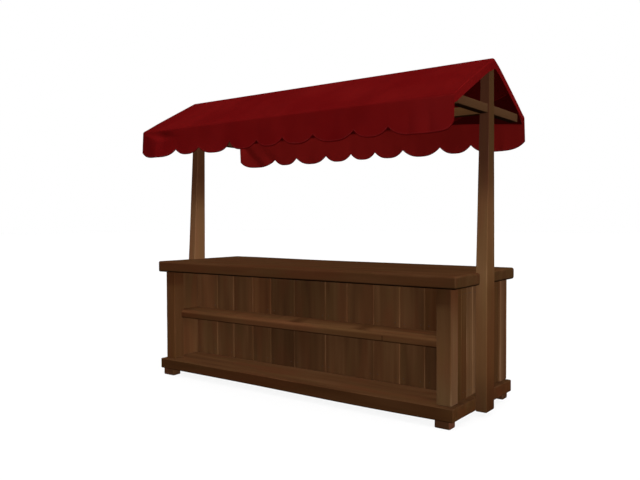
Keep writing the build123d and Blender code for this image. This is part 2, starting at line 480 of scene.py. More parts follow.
def along_grain(piece, axis, stain_at, shift_at):
    """Writes grain (the two ways across, then along) and stain, from what they are at each point."""
    along, across, up = ACROSS[axis]
    grain = []
    stains = []
    for point in piece.data.vertices:
        own = shift_at(point)
        grain += (point.co[across] + own, point.co[up] + 0.7 * own, point.co[along] + 1.9 * own)
        stains += tinted(stain_at(point))
    write(piece.data, "grain", grain)
    write(piece.data, "stain", stains)


def fit(piece, slot, material, *nodes):
    """Puts a finished piece on the stall, in place of the nodes."""
    piece.data.materials.clear()
    piece.data.materials.append(material)
    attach(piece, "root")
    if nodes:
        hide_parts(*nodes)
    return piece


def timber(name, slot, axis, loops, width, stain, shift, segments=2, share_at=None):
    """A finished wooden piece that stands for the node of its name.

    width is its bevels', stain its depth or tint, or a function of a mesh point that gives it, and
    shift sets its grain apart from the other timbers'.
    """
    piece = rounded(solid(name, loops), width, segments, share_at)
    along_grain(piece, axis, stain if callable(stain) else lambda point: stain, lambda point: shift)
    return fit(piece, slot, WOOD[slot], name)


# ---------------------------------------------------------------- geometry-node trees

def new_tree(name, **inputs):
    """A modifier tree with named inputs; gives its bench and its input wires by name."""
    tree = bpy.data.node_groups.new(name, "GeometryNodeTree")
    for label, kind in {"Geometry": "Geometry", **inputs, "Material": "Material"}.items():
        tree.interface.new_socket(label, in_out="INPUT", socket_type="NodeSocket" + kind)
    tree.interface.new_socket("Geometry", in_out="OUTPUT", socket_type="NodeSocketGeometry")
    bench = Bench(tree)
    entry = tree.nodes.new("NodeGroupInput")
    return bench, {socket.name: Wire(bench, socket) for socket in entry.outputs if socket.name}


def named(bench, attribute, kind="FLOAT"):
    return bench.add("GeometryNodeInputNamedAttribute", {"data_type": kind}, {"Name": attribute})


def close_tree(bench, wires, geometry):
    whole = bench.add("GeometryNodeRealizeInstances", {}, {"Geometry": geometry})
    done = bench.add("GeometryNodeSetMaterial", {}, {"Geometry": whole, "Material": wires["Material"]})
    bench.add("NodeGroupOutput", {}, {"Geometry": done})
    return bench.tree


def grown(piece, tree, **values):
    """Runs a tree on the piece with the values of its named inputs, and gives the plain mesh."""
    modifier = piece.modifiers.new("grow", "NODES")
    modifier.node_group = tree
    for item in tree.interface.items_tree:
        if item.in_out == "INPUT" and item.name in values:
            modifier[item.identifier] = values[item.name]
    return settled(piece)


def board_wall_tree():
    """One board on each point, as long and wide as the point says, less the gap."""
    bench, wires = new_tree("board_wall", Thickness="Float", Gap="Float", Unevenness="Float", Seed="Int")
    number = named(bench, "number")
    unit = bench.add("GeometryNodeMeshCube", {}, {"Size": (1.0, 1.0, 1.0), "Vertices Z": 7})
    sockets = {"X": named(bench, "width") - wires["Gap"], "Y": wires["Thickness"],
               "Z": named(bench, "length")}
    scale = bench.add("ShaderNodeCombineXYZ", {}, sockets)
    boards = bench.add("GeometryNodeInstanceOnPoints", {},
                       {"Points": wires["Geometry"], "Instance": unit, "Scale": scale})
    boards = bench.add("GeometryNodeRealizeInstances", {}, {"Geometry": boards})
    sockets = {"X": number * 31.0, "Y": number * 17.0, "Z": wires["Seed"]}
    own = bench.add("ShaderNodeCombineXYZ", {}, sockets)
    spot = bench.vector("ADD", bench.add("GeometryNodeInputPosition"), own)
    rough = bench.add("ShaderNodeTexNoise", {}, {"Vector": spot, "Scale": 5.0}, out="Color")
    centred = bench.vector("SUBTRACT", rough, (0.5, 0.5, 0.5))
    offset = bench.add("ShaderNodeVectorMath", {"operation": "SCALE"},
                       {0: centred, "Scale": wires["Unevenness"]})
    boards = bench.add("GeometryNodeSetPosition", {}, {"Geometry": boards, "Offset": offset})
    return close_tree(bench, wires, boards)


def nail_tree():
    """A nail head on each point, turned to the point's facing."""
    bench, wires = new_tree("nail_heads", Head="Object", Smallest="Float", Largest="Float", Seed="Int")
    head = bench.add("GeometryNodeObjectInfo", {}, {"Object": wires["Head"]}, out="Geometry")
    turn = bench.add("FunctionNodeAlignRotationToVector", {"axis": "Z"},
                     {"Vector": named(bench, "facing", "FLOAT_VECTOR")})
    size = bench.add("FunctionNodeRandomValue", {"data_type": "FLOAT"},
                     {2: wires["Smallest"], 3: wires["Largest"], "Seed": wires["Seed"]}, out=1)
    heads = bench.add("GeometryNodeInstanceOnPoints", {},
                      {"Points": wires["Geometry"], "Instance": head, "Rotation": turn, "Scale": size})
    return close_tree(bench, wires, heads)


def stitch_tree():
    """Stitches along the piece's edges, one each pitch."""
    bench, wires = new_tree("hem_stitches", Stitch="Object", Pitch="Float")
    stitch = bench.add("GeometryNodeObjectInfo", {}, {"Object": wires["Stitch"]}, out="Geometry")
    seam = bench.add("GeometryNodeMeshToCurve", {}, {"Mesh": wires["Geometry"]})
    points = bench.add("GeometryNodeCurveToPoints", {"mode": "LENGTH"},
                       {"Curve": seam, "Length": wires["Pitch"]}, out="Points")
    stitches = bench.add("GeometryNodeInstanceOnPoints", {},
                         {"Points": points, "Instance": stitch, "Rotation": points.beside("Rotation")})
    return close_tree(bench, wires, stitches)


BOARD_WALL = board_wall_tree()
NAIL_HEADS = nail_tree()
HEM_STITCHES = stitch_tree()


def point_object(name, points, **attributes):
    """Loose points with attributes, for a tree to grow on."""
    mesh = bpy.data.meshes.new(name)
    mesh.from_pydata(points, [], [])
    for label, values in attributes.items():
        write(mesh, label, values)
    return link(name, mesh)


# ---------------------------------------------------------------- boarded panels

LEAN = 0.0012            # how far a board stands before or behind the others
PROUD = 0.006            # how far the corner posts, and the back boards on them, stand out at the ends
INNER_SEAMS = (-1.03, -0.838, -0.622, -0.426, -0.183, 0.120, 0.319, 0.552, 0.765, 0.962)
WIDE_BELOW = 0.319       # the seam that is missing under the shelf
BACK_BOARDS = 13
END_SEAMS = (-0.262, -0.178, -0.088, 0.036, 0.128, 0.246)


def board_wall(name, boards, thickness, turn, seed, depth=1.0, painted_shade_top=1.0, foot_depth=1.0):
    """A wall of upright boards, laid out along X about Y = 0, then put in place by turn.

    Each board is (left, right, low, high, stain at its left edge, stain at its right edge); depth
    multiplies every stain, the upper half's again by the painted shade under the counter, and foot_depth
    the lowest part's.
    """
    chance = random.Random(seed)
    points = [((left + right) / 2, chance.uniform(-LEAN, LEAN), (low + high) / 2)
              for left, right, low, high, _, _ in boards]
    ground = point_object(name, points, width=[board[1] - board[0] for board in boards],
                          length=[board[3] - board[2] for board in boards],
                          number=[float(k) for k in range(len(boards))])
    piece = grown(ground, BOARD_WALL, Thickness=thickness - 2 * LEAN - 0.002, Gap=0.0015,
                  Unevenness=0.0030, Seed=seed, Material=WOOD["board_wood"])
    piece = rounded(piece, width=0.0055)
    mesh = piece.data
    number = [0.0] * len(mesh.vertices)
    mesh.attributes["number"].data.foreach_get("value", number)

    def stain_at(point):
        spot = point.co
        left, right, _, _, first, last = boards[round(number[point.index])]
        share = min(1.0, max(0.0, (spot.x - left) / (right - left)))
        # painted shade under the counter: the upper half is darker
        own = depth * (1 + (painted_shade_top - 1) * smooth((spot.z - 0.40) / 0.30))
        own *= 1 + (foot_depth - 1) * smooth((0.62 - spot.z) / 0.48)
        return [own * between(a, b, share) for a, b in zip(tinted(first), tinted(last))]

    along_grain(piece, "z", stain_at, lambda point: seed * 0.37 + 1.7 * number[point.index])
    for label in ("width", "length", "number"):
        mesh.attributes.remove(mesh.attributes[label])
    mesh.transform(turn)
    fit(piece, "board_wood", WOOD["board_wood"], name)


def laid(seams, low, high, stains):
    """Boards between neighbouring seams, each with its two stains."""
    return [(left, right, low, high, *stain) for (left, right), stain in zip(neighbours(seams), stains)]


def build_inner_panel():
    (x0, x1), (y0, y1), (z0, z1) = spans("inner_panel")
    behind_shelf = sum(spans("shelf")[2]) / 2
    seams = [x0, *INNER_SEAMS, x1]
    boards = laid(seams, behind_shelf, z1, [
        (1.28, 1.28), (1.18, 0.96), (0.88, 1.18), ((1.25, 1.09, 1.06), (1.06, 0.92, 0.89)),
        (0.87, 0.82), (0.76, 0.94), (1.00, 1.06), (1.20, 1.02), (1.14, 1.34), (1.18, 1.02),
        ((0.80, 0.70, 0.63), (0.84, 0.73, 0.66))])
    seams.remove(WIDE_BELOW)
    boards += laid(seams, z0, behind_shelf, [
        (1.07, 1.12), (1.06, 0.95), (0.92, 1.04), (0.94, 0.98), (0.72, 0.68), (0.70, 0.88),
        (1.00, 0.98), (1.10, 1.26), (1.06, 0.94), (0.82, 0.92)])
    board_wall("inner_panel", boards, y1 - y0, Matrix.Translation((0, (y0 + y1) / 2, 0)), 11, depth=0.92)


def build_back_panel():
    (x0, x1), (y0, y1), (z0, z1) = spans("back_panel")
    x0, x1 = x0 - PROUD, x1 + PROUD
    chance = random.Random(5)
    seams = [x0 + (x1 - x0) * (i + chance.uniform(-0.14, 0.14) * (0 < i < BACK_BOARDS)) / BACK_BOARDS
             for i in range(BACK_BOARDS + 1)]
    stains = [(chance.uniform(0.92, 1.15), chance.uniform(0.92, 1.15)) for _ in range(BACK_BOARDS)]
    board_wall("back_panel", laid(seams, z0, z1, stains), y1 - y0,
               Matrix.Translation((0, (y0 + y1) / 2, 0)), 23)


def build_end_panels():
    # the third board, and the fourth's left edge above all, are painted paler: painted light where the
    # tall post shades them
    right = [((0.74, 0.75, 0.62), (0.77, 0.78, 0.64)), ((0.76, 0.77, 0.66), (0.86, 0.88, 0.82)),
             ((1.14, 1.25, 1.36), (1.25, 1.38, 1.50)), ((1.75, 2.00, 2.25), (1.10, 1.20, 1.30)),
             (0.78, 0.80), (0.80, 0.84), ((0.84, 0.79, 0.72), (0.88, 0.83, 0.76))]
    left = [((1.20, 1.16, 1.12), (1.08, 1.06, 1.04)), (1.08, 1.00), (0.88, 0.96), (1.00, 1.08),
            (0.93, 0.98)]
    for name, inner_seams, stains, seed, depths in (
            ("end_panel_right", END_SEAMS, right, 32, {"painted_shade_top": 0.90, "foot_depth": 0.84}),
            ("end_panel_left", END_SEAMS[2:], left, 30, {"depth": 0.88, "painted_shade_top": 0.84})):
        (x0, x1), (y0, y1), (z0, z1) = spans(name)
        turn = Matrix.Translation(((x0 + x1) / 2, 0, 0)) @ Matrix.Rotation(math.pi / 2, 4, "Z")
        board_wall(name, laid([y0, *inner_seams, y1], z0, z1, stains), x1 - x0, turn, seed, **depths)


# ---------------------------------------------------------------- slabs

NOTCH_X = 1.328                  # X of the inner ends of the notches for the tall posts
COUNTER_NOTCH = (-0.117, 0.036)  # front and back of the counter's notches
BASE_NOTCH = (-0.141, 0.060)
RIM = 0.036                      # width of a slab's drooping rim
HALF_SLAB = 1.36                 # about half a slab's length


def wander(points, wobble, chance, pitch=0.13):
    """A closed outline with its long sides cut into short runs that wander inward."""
    out = []
    for (x, y), (x2, y2) in zip(points, points[1:] + points[:1]):
        length = math.hypot(x2 - x, y2 - y)
        count = max(1, round(length / pitch))
        inward = Vector((-(y2 - y), x2 - x)) / length
        out.append((x, y))
        for t in (k / count for k in range(1, count)):
            shy = wobble * (0.5 + 0.5 * noise.noise((x + (x2 - x) * t * 3, y * 3 + chance, 7.7 * chance)))
            out.append((between(x, x2, t) + inward.x * shy, between(y, y2, t) + inward.y * shy))
    return out


def notched_outline(half_x, front, back, notch):
    """A slab's outline, anticlockwise from above, cut back at both ends for the tall posts."""
    right = [(half_x, front), (half_x, notch[0]), (NOTCH_X, notch[0]), (NOTCH_X, notch[1]),
             (half_x, notch[1]), (half_x, back)]
    left = [(-x, y) for x, y in reversed(right)]
    return [left[-1], *right, *left[:-1]]


def hanging(x):
    """How far a slab's underside hangs at this X, as a share of its belly."""
    return bump_at(x, 0.65, 0.75)


def slab(name, outline, low, high, edges, wobble, droop, belly, tilt, stain, shift):
    """A thick slab. edges are the widths of its bevels on top, underneath, and up each corner.

    wobble is how far its sides wander inward, droop how far its rim wanders down, belly how far
    its underside hangs where it is lowest, tilt how far its left end rises.
    """
    front, back = outline[0][1], outline[6][1]
    notch_front, notch_back = outline[2][1], outline[5][1]

    def rise(x):
        return tilt * smooth((-x - 0.2) / 1.1)

    def inset(spot):
        if spot.y < notch_front + 0.001:
            share = (spot.y - front) / (notch_front - front)
            y = front + RIM + share * (notch_front - front - 2 * RIM)
        else:
            share = (spot.y - notch_back) / (back - notch_back)
            y = notch_back + RIM + share * (back - notch_back - 2 * RIM)
        x = spot.x * (1 - RIM / HALF_SLAB)
        return Vector((x, y, high + rise(x)))

    lower = [Vector((x, y, low - belly * hanging(x)))
             for x, y in wander(outline, 0.4 * wobble, 1.3 + shift)]
    upper = []
    for x, y in wander(outline, wobble, 2.9 + shift):
        sunk = droop * (0.5 + 0.5 * noise.noise((x * 4.5, y * 4.5, 3.3 + shift)))
        upper.append(Vector((x, y, high - sunk + rise(x))))
    inner = [inset(spot) for spot in upper]

    def key(spot):
        return tuple(round(value, 5) for value in spot)

    ring_of = {key(spot): k for k, ring in enumerate((lower, upper, inner)) for spot in ring}
    widest = max(edges)
    far = max(x for x, _ in outline)

    def share_at(first, second):
        ends = {ring_of[key(first)], ring_of[key(second)]}
        if len(ends) == 1:
            return {0: edges[1] / widest, 1: edges[0] / widest, 2: 0.0}[ends.pop()]
        if 2 in ends or not any(math.hypot(first.x - x, first.y - y) < 1e-5 for x, y in outline):
            return 0.0
        if abs(first.x) < far - 1e-5 or abs(first.y) < 0.2:
            return 0.4
        return edges[2] / widest * (1.0 if first.x < 0 else 0.3)

    timber(name, "counter_wood", "x", [[lower, upper, inner]], widest, stain, shift + 7.85,
           segments=4, share_at=share_at)


def build_counter():
    (_, x1), (y0, y1), (z0, z1) = spans("counter_top")
    x1 += 0.003
    outline = [(x - 0.006 if x < -1.34 else x, y) for x, y in notched_outline(x1, y0, y1, COUNTER_NOTCH)]

    def stain(point):
        spot = point.co
        if spot.z > z1 - 0.005:
            far_left = smooth((-spot.x - 0.2) / 0.9)
            return (0.97 + 0.08 * far_left, 1.02 + 0.12 * far_left, 1.09 + 0.18 * far_left)
        # painted shade: a dark line along the slab's bottom edge
        bottom_painted_shade = 0.12 + 0.88 * smooth((spot.z - z0 - 0.005) / 0.010)
        if abs(spot.x) > x1 - 0.012:
            return (0.83 * bottom_painted_shade, 0.94 * bottom_painted_shade, 0.99 * bottom_painted_shade)
        return (0.91 * bottom_painted_shade, 0.92 * bottom_painted_shade, 0.96 * bottom_painted_shade)

    slab("counter_top", outline, z0, z1 + 0.002, (0.015, 0.016, 0.030), wobble=0.006, droop=0.002,
         belly=0.0, tilt=0.006, stain=stain, shift=0.0)


def build_base():
    (_, x1), (y0, y1), (low, high) = spans("base_slab")
    x1 += 0.003
    low -= 0.005
    belly = 0.008

    def stain(point):
        spot = point.co
        if spot.z > high - 0.007:
            end = 1 - 0.30 * smooth((spot.x - 1.285) / 0.02)
            return (1.10 * end, 1.19 * end, 1.29 * end)
        above = spot.z - low + belly * hanging(spot.x)
        # painted shade: a dark line along the slab's bottom edge
        bottom_painted_shade = 0.36 + 0.64 * smooth((above + 0.001) / 0.009)
        if abs(spot.x) > x1 - 0.010:
            ruddy = smooth((spot.y - 0.05) / 0.1)
            return (0.88 * bottom_painted_shade, (0.95 - 0.13 * ruddy) * bottom_painted_shade, (0.90 - 0.08 * ruddy) * bottom_painted_shade)
        return (0.68 * bottom_painted_shade, 0.67 * bottom_painted_shade, 0.65 * bottom_painted_shade)

    slab("base_slab", notched_outline(x1, y0, y1, BASE_NOTCH), low, high, (0.009, 0.011, 0.018),
         wobble=0.008, droop=0.005, belly=belly, tilt=0.0, stain=stain, shift=4.1)


def build_shelf():
    """Two boards end to end, round-fronted, cut back behind the corner posts."""
    (x0, x1), (y0, y1), (z0, z1) = spans("shelf")
    corner_inner = cad_box["corner_post_front_right"][0].x
    corner_back = cad_box["corner_post_front_right"][1].y
    top_round = 0.024
    under_round = 0.012
    joint = 0.771           # X where the two boards meet
    gap = 0.0008            # from there to each board

    def profile(at, front, droop):
        ring = [Vector((at, y1, z0)), Vector((at, y1, z1))]
        for k in range(7):
            angle = math.pi / 2 * k / 6
            ring.append(Vector((at, front + top_round * (1 - math.sin(angle)),
                                z1 - top_round * (1 - math.cos(angle)) - droop)))
        for k in range(4):
            angle = math.pi / 2 * k / 3
            ring.append(Vector((at, front + under_round * (1 - math.cos(angle)),
                                z0 + under_round * (1 - math.sin(angle)))))
        return ring

    def board(start, end):
        count = round((end - start) / 0.1)
        rings = []
        stations = [start + (end - start) * k / count for k in range(count + 1)]
        stations += [at for at in (joint - 0.007, joint + 0.007) if start < at < end]
        for at in sorted(stations):
            ease = 0.0016 * (1 + noise.noise((at * 3, 1.7, 0.4)))
            droop = 0.0014 * (1 + noise.noise((at * 4, 5.2, 3.1)))
            if abs(abs(at) - corner_inner) > 1e-6:
                rings.append(profile(at, y0 + ease, droop))
        return rings

    left = [profile(x0, corner_back, 0.0), profile(-corner_inner, corner_back, 0.0)]
    left += [profile(-corner_inner, y0, 0.0)] + board(-corner_inner + 0.02, joint - gap)
    right = board(joint + gap, corner_inner - 0.02) + [profile(corner_inner, y0, 0.0)]
    right += [profile(corner_inner, corner_back, 0.0), profile(x1, corner_back, 0.0)]

    def stain(point):
        """Painted highlight along the rounded front edge, painted shade under it and in the joint between
        the boards.
        """
        spot = point.co
        # painted shade in the joint between the two boards
        if abs(spot.x - joint) < 0.003 and spot.z < z1 - 0.020:
            return 0.55
        if spot.y > y0 + 0.026:
            return (0.90, 0.91, 0.92)
        # painted highlight where the front edge rounds over, the face below it plainer
        down = (z1 - spot.z) / (z1 - z0)
        far_left = smooth((-spot.x - 0.45) / 0.75)
        face = smooth((down - 0.20) / 0.17)
        depth = 1.68 - 0.28 * far_left - (0.53 + 0.03 * far_left) * face
        ruddy = face * (0.5 + 0.9 * noise.noise((spot.x * 2.6, 0.7, 2.2)) + 1.1 * far_left)
        # painted shade along the underside's front edge
        if spot.z < z0 + 0.009:
            depth *= 0.62 + 0.2 * far_left - 0.6 * max(0.0, noise.noise((spot.x * 3.1, 4.1, 0.2)))
        return (depth, depth * (1.12 - 0.10 * ruddy), depth * (1.20 - 0.14 * ruddy))

    timber("shelf", "counter_wood", "x", [left, right], width=0.0022, stain=stain, shift=18.29)


# ---------------------------------------------------------------- posts, rails and feet

def build_feet():
    for name in ("foot_front_left", "foot_front_right", "foot_back_left", "foot_back_right"):
        (x0, x1), (y0, y1), (z0, z1) = spans(name)
        grow = 0.005 if x1 > 0 else 0.010       # wider than their nodes, the left ones more
        far = max(abs(x0), abs(x1))

        def stain(point):
            spot = point.co
            if abs(spot.x) < far:
                return (0.44, 0.42, 0.46)
            return (0.72, 0.60, 0.80) if spot.y < 0 else (0.46, 0.45, 0.52)

        rings = hewn_bar("z", (z0, z1), (x0 - grow, x1 + grow), (y0, y1), wobble=0.002, seed=name,
                         pitch=0.03)
        timber(name, "frame_wood", "z", [rings], width=0.009, stain=stain, shift=x0 * 3)


def build_corner_posts():
    """Square posts at the body's corners, with painted shade under the counter's edge, most on their
    outer long side.
    """
    top = cad_box["corner_post_front_right"][1].z
    for name in ("corner_post_front_left", "corner_post_front_right",
                 "corner_post_back_left", "corner_post_back_right"):
        x, y, z = spans(name)
        out_x = 1 if x[1] > 0 else -1
        out_y = 1 if y[1] > 0 else -1
        far_x = max(abs(value) for value in x) + PROUD
        far_y = max(abs(value) for value in y)

        def stain(point):
            spot = point.co
            # painted shade just under the counter
            dark = 1 - smooth((top - 0.095 - spot.z) / 0.050)
            foot = smooth((0.45 - spot.z) / 0.30)
            if out_y * spot.y > far_y - 0.004:
                if out_x < 0:
                    return (0.62 - 0.16 * dark, 0.54 - 0.18 * dark, 0.48 - 0.16 * dark)
                near = smooth((far_x - out_x * spot.x) / 0.04)
                dark *= 0.6 + 0.4 * near
                fall = 1.10 - 0.32 * smooth((spot.z - 0.40) / 0.40)
                return ((0.75 - 0.28 * dark) * fall, (0.76 - 0.36 * dark) * fall * (1 + 0.13 * foot),
                        (0.75 - 0.38 * dark) * fall * (1 + 0.22 * foot))
            if out_x * spot.x > far_x - 0.004:
                if out_y < 0:
                    # painted shade under the counter on the outer side, darker upwards
                    near = smooth((spot.z - 0.52) / 0.36)
                    return (0.88 * (1 - 0.34 * near), 0.94 * (1 - 0.50 * near + 0.12 * foot),
                            1.06 * (1 - 0.58 * near + 0.18 * foot))
                if spot.y < far_y - 0.05:
                    return (0.94, 1.05, 1.26)
                return (0.48, 0.43, 0.51)
            if out_x < 0:
                return (0.55 - 0.10 * dark, 0.51 - 0.14 * dark, 0.48 - 0.14 * dark)
            return 0.80 - 0.10 * dark

        sides = (x[0], x[1] + PROUD) if out_x > 0 else (x[0] - PROUD, x[1])
        rings = hewn_bar("z", z, sides, y, wobble=0.0012, seed=name, pitch=0.045)
        timber(name, "frame_wood", "z", [rings], width=0.006, stain=stain, shift=sides[0] * 2 + y[0])


def post_stain_and_painted_shadow(point):
    """A tall post's stain: lighter about the counter's height, darker above where a painted shadow of the
    canopy falls, ruddy and darker near the ground."""
    spot = point.co
    # painted shadow of the canopy above about 1.33 m
    shaded = smooth((spot.z - 1.33) / 0.32)
    # ruddier and darker towards the bottom
    toward_ground = smooth((0.80 - spot.z) / 0.60)
    darker_near_ground = 1 - 0.44 * smooth((0.36 - spot.z) / 0.30)
    low = smooth((0.98 - spot.z) / 0.12)
    if point.normal.x * spot.x > 0.75 * abs(spot.x):        # the post's outer face
        depth = (0.86 - 0.36 * shaded - 0.20 * low) * darker_near_ground
        return (depth * (1 - 0.03 * toward_ground), depth * (1.02 - 0.11 * toward_ground - 0.10 * low),
                depth * (1.03 - 0.14 * toward_ground - 0.17 * low))
    if spot.x < 0:
        depth = 1.17 - 0.64 * shaded
        return (depth, depth * 1.06 - 0.11 * shaded, depth * 1.15 - 0.11 * shaded)
    bright = bump_at(spot.z, 0.95, 0.17)
    depth = (1.06 + 0.28 * bright - 0.57 * shaded - 0.08 * toward_ground) * darker_near_ground
    return (depth, depth * (1.09 + 0.06 * bright - 0.03 * low) - 0.14 * shaded,
            depth * (1.10 + 0.14 * bright - 0.04 * low) - 0.03 * shaded)


def build_tall_posts():
    """Tapering posts from the ground to just under the ridge, with the tie beams lapped into them.

    Both are worked out for the right side.
    """
    (x0, x1), (y0, _), (z0, _) = spans("tall_post_right")
    tie_x, tie_y, tie_z = spans("tie_beam_right")
    counter_z = cad_box["counter_top"][1].z
    ridge_z = cad_box["canopy"][1].z
    top_z = ridge_z - 0.026         # the canopy passes over it
    lap = x0 + 0.027                # X where post and tie beam meet in their lap joint
    spare = (0.004, 0.002)          # added each way, as planing and rounding take it off

    def post_sides(at):
        t = max(0.0, (at - counter_z) / (ridge_z - counter_z))
        return (x0, x1 - 0.014 * t), (between(y0, -0.030, t), 0.022 + 0.014 * t)

    def share_at(first, second):
        if abs(first.z - second.z) > 0.02:
            return 0.45
        if first.z < z0 + 0.001:
            return 1.0
        return 0.3 if any(abs(first.z - level) < 0.001 for level in (*tie_z, top_z)) else 0.0

    post = []
    for at, inner in ((z0, x0), (counter_z, x0), (tie_z[0], x0), (tie_z[0], lap), (tie_z[1], lap),
                      (tie_z[1], x0), (top_z, x0)):
        (_, outer), (front, back) = post_sides(at)
        post.append((at, (inner - spare[0], outer + spare[0]), (front - spare[1], back + spare[1])))
    for side, seed, shift in (("right", 41, 6.91), ("left", 43, 12.18)):
        rings = on_side(side, hewn("z", post, wobble=0.0018, seed=seed))
        timber("tall_post_" + side, "frame_wood", "z", [rings], width=0.010, stain=post_stain_and_painted_shadow,
               shift=shift, segments=3, share_at=share_at)

    front, back = post_sides((tie_z[0] + tie_z[1]) / 2)[1]
    beam = [(at, tie_z, (tie_x[0], outer)) for at, outer in (
        (tie_y[0], tie_x[1]), (front, tie_x[1]), (front, lap), (back, lap), (back, tie_x[1]),
        (tie_y[1], tie_x[1]))]
    for side, seed, stain, shift in (("right", 47, (0.53, 0.56, 0.63), 1.1),
                                     ("left", 53, (0.50, 0.49, 0.53), 3.4)):
        rings = on_side(side, hewn("y", beam, wobble=0.0015, seed=seed))
        timber("tie_beam_" + side, "frame_wood", "y", [rings], width=0.005, stain=stain, shift=shift)


def build_rails():
    rings = hewn_bar("x", *spans("centre_rail"), wobble=0.0015, seed=59)
    timber("centre_rail", "frame_wood", "x", [rings], width=0.005, stain=(0.80, 0.84, 0.78), shift=8.0)

    (x0, x1), (y0, y1), (z0, z1) = spans("ridge_rail")
    top = z1 - 0.002
    slope = 0.5342          # its two upper faces lie along the canopy's slopes
    section = ((y0, z0), (y1, z0), (y1, top - slope * y1), (0.0, top), (y0, top + slope * y0))
    rings = [[Vector((at, y, z)) for y, z in section] for at in (x0, -0.7, 0.0, 0.7, x1)]
    timber("ridge_rail", "frame_wood", "x", [rings], width=0.003, stain=0.8, shift=9.0)

    rings = hewn_bar("x", *spans("shelf_cleat"), wobble=0.0012, seed=61)
    timber("shelf_cleat", "counter_wood", "x", [rings], width=0.003, stain=0.9, shift=6.0)


# ---------------------------------------------------------------- canopy

canopy_low, canopy_high = cad_box["canopy"]
END_X = canopy_high.x
RIDGE_Z = canopy_high.z
LOW_Z = canopy_low.z
FOOT_Y = canopy_high.y
EAVE_Y = FOOT_Y - 0.016
EAVE_Z = RIDGE_Z - 0.312
SLOPE = math.hypot(EAVE_Y, RIDGE_Z - EAVE_Z)            # from the ridge to the eave
FALL = math.hypot(FOOT_Y - EAVE_Y, EAVE_Z - LOW_Z)      # from the eave to the lowest hem
LEFT_END = -END_X - 0.007       # the cloth hangs a little to the left
RIGHT_END = END_X - 0.007
CLOTH = 0.0035                  # thickness
PUFF = 0.005                    # how far the taut slopes stand proud of the plain shape

CUSP_Z = LOW_Z + 0.051          # where the scallops meet
CUSPS = (0.120, 0.388, 0.720, 0.980)                    # their X at the back, to both sides
FRONT_SHIFT = -0.022            # the front's stand this much further along X
THIRD_CUSP = FRONT_SHIFT - CUSPS[1]
HEM_SEAM = 0.011                # from the scalloped edge up to its stitches
STITCH_GAP = 0.0006             # from the cloth's faces out to the middle of their thread

EAVE_BEND = 0.014               # how far each way the cloth's bends reach
RIDGE_BEND = 0.012
END_BEND = 0.005
RIDGE_END_BEND = 0.018

SLOPE_ROWS = 26                 # rows of points down a slope, round the eave and down a valance
BEND_ROWS = 8
VALANCE_ROWS = 18
EAVE_ROW = 2 + SLOPE_ROWS + BEND_ROWS                   # the row where the eave's bend ends
FLAP_ROWS = 10
FACING_SHADE = 0.34             # the hidden facings carry more painted shade than any other cloth


def scallop_ends(side):
    shift = FRONT_SHIFT if side < 0 else 0.0
    inner = [-x + shift for x in reversed(CUSPS)] + [x + shift for x in CUSPS]
    return [LEFT_END] + inner + [RIGHT_END]


def hem_z(x, side):
    """Height of the valance's scalloped edge; wide lobes hang lower than narrow ones."""
    x = min(max(x, LEFT_END), RIGHT_END)
    left, right = next(ends for ends in neighbours(scallop_ends(side)) if ends[0] <= x <= ends[1])
    t = 2 * (x - left) / (right - left) - 1
    width = right - left
    outer_left = left == LEFT_END
    outer_right = right == RIGHT_END
    depth = min(0.061, 0.034 + 0.082 * width) if side > 0 else min(0.051, 0.022 + 0.085 * width)
    if side < 0 and outer_right and t > 0:
        return CUSP_Z - depth + 0.050 * t ** 9 + 0.008 * t ** 2
    if side < 0 and outer_left:
        depth += 0.003
        rise = 0.041 * t ** 4 + 0.012 * t ** 2 if t < 0 else depth * t ** 3.6
        return CUSP_Z - depth + rise
    if (outer_right and t > 0) or (outer_left and t < 0):
        return CUSP_Z - depth + 0.047 * abs(t) ** 4 + 0.012 * t ** 2
    lift = 0.0
    if side < 0:
        lift = 0.009 * smooth((x + 0.5) / 0.2) + 0.019 * bump_at(x, THIRD_CUSP, 0.06)
    return CUSP_Z - depth * (1 - abs(t) ** (4.0 if outer_right else 2.6)) + lift * abs(t) ** 5


def valance(x, side):
    """Length of the cloth from the eave down to its edge."""
    return (EAVE_Z - hem_z(x, side)) * FALL / (EAVE_Z - LOW_Z)


def fold_depth(x, drop, side):
    """How far the cloth stands in from its plain shape, by place along X and distance below the eave."""
    depth = 0.0022 * noise.noise((x * 2.1, drop * 2.4 + 3.0 * side, 4.0 * side))
    if drop < 0:
        up = -drop / SLOPE
        return depth * math.sin(math.pi * min(1.0, up * 1.4)) - PUFF * smooth(up * 3)

    # the valance sways more the lower it hangs
    hang = min(1.0, drop / 0.2)
    depth += hang * 0.006 * noise.noise((x * 3.7 + 9 * side, 0.3, 1.7))
    depth += hang * 0.0035 * noise.noise((x * 9.0, drop * 3.0, 8.3 + side))

    # a fold falls from the left corner, out along its line, with a hollow beside it
    from_left = x - LEFT_END
    if side < 0:
        line = 0.025 + 0.165 * smooth(0.5 * min(1.0, drop / 0.085)) * 2
        near = from_left / line if from_left < line else smooth(1 - (from_left - line) / 0.26)
        start = 0.035 + 0.30 * max(0.0, from_left - 0.06)
        depth -= 0.032 * line / 0.190 * min(1.0, drop / start) * near
        hollow = smooth(drop / 0.075) if drop < 0.075 else bump_at(drop, 0.075, 0.12)
        depth += 0.027 * bump_at(from_left, 0.245, 0.090) * hollow
    else:
        line = 0.012 + 0.95 * drop
        near = smooth(from_left / line) if from_left < line else smooth(1 - (from_left - line) / 0.11)
        depth -= 0.014 * min(1.0, drop / 0.05) * near
        depth -= 0.008 * hang * bump_at(from_left - line, 0.21, 0.06)

    # two shallow hollows near the right corner
    from_right = RIGHT_END - x
    hollows = (0.004 * hang * bump_at(from_right, 0.16, 0.03)
               + 0.003 * hang * bump_at(from_right, 0.30, 0.03))
    return depth + hollows


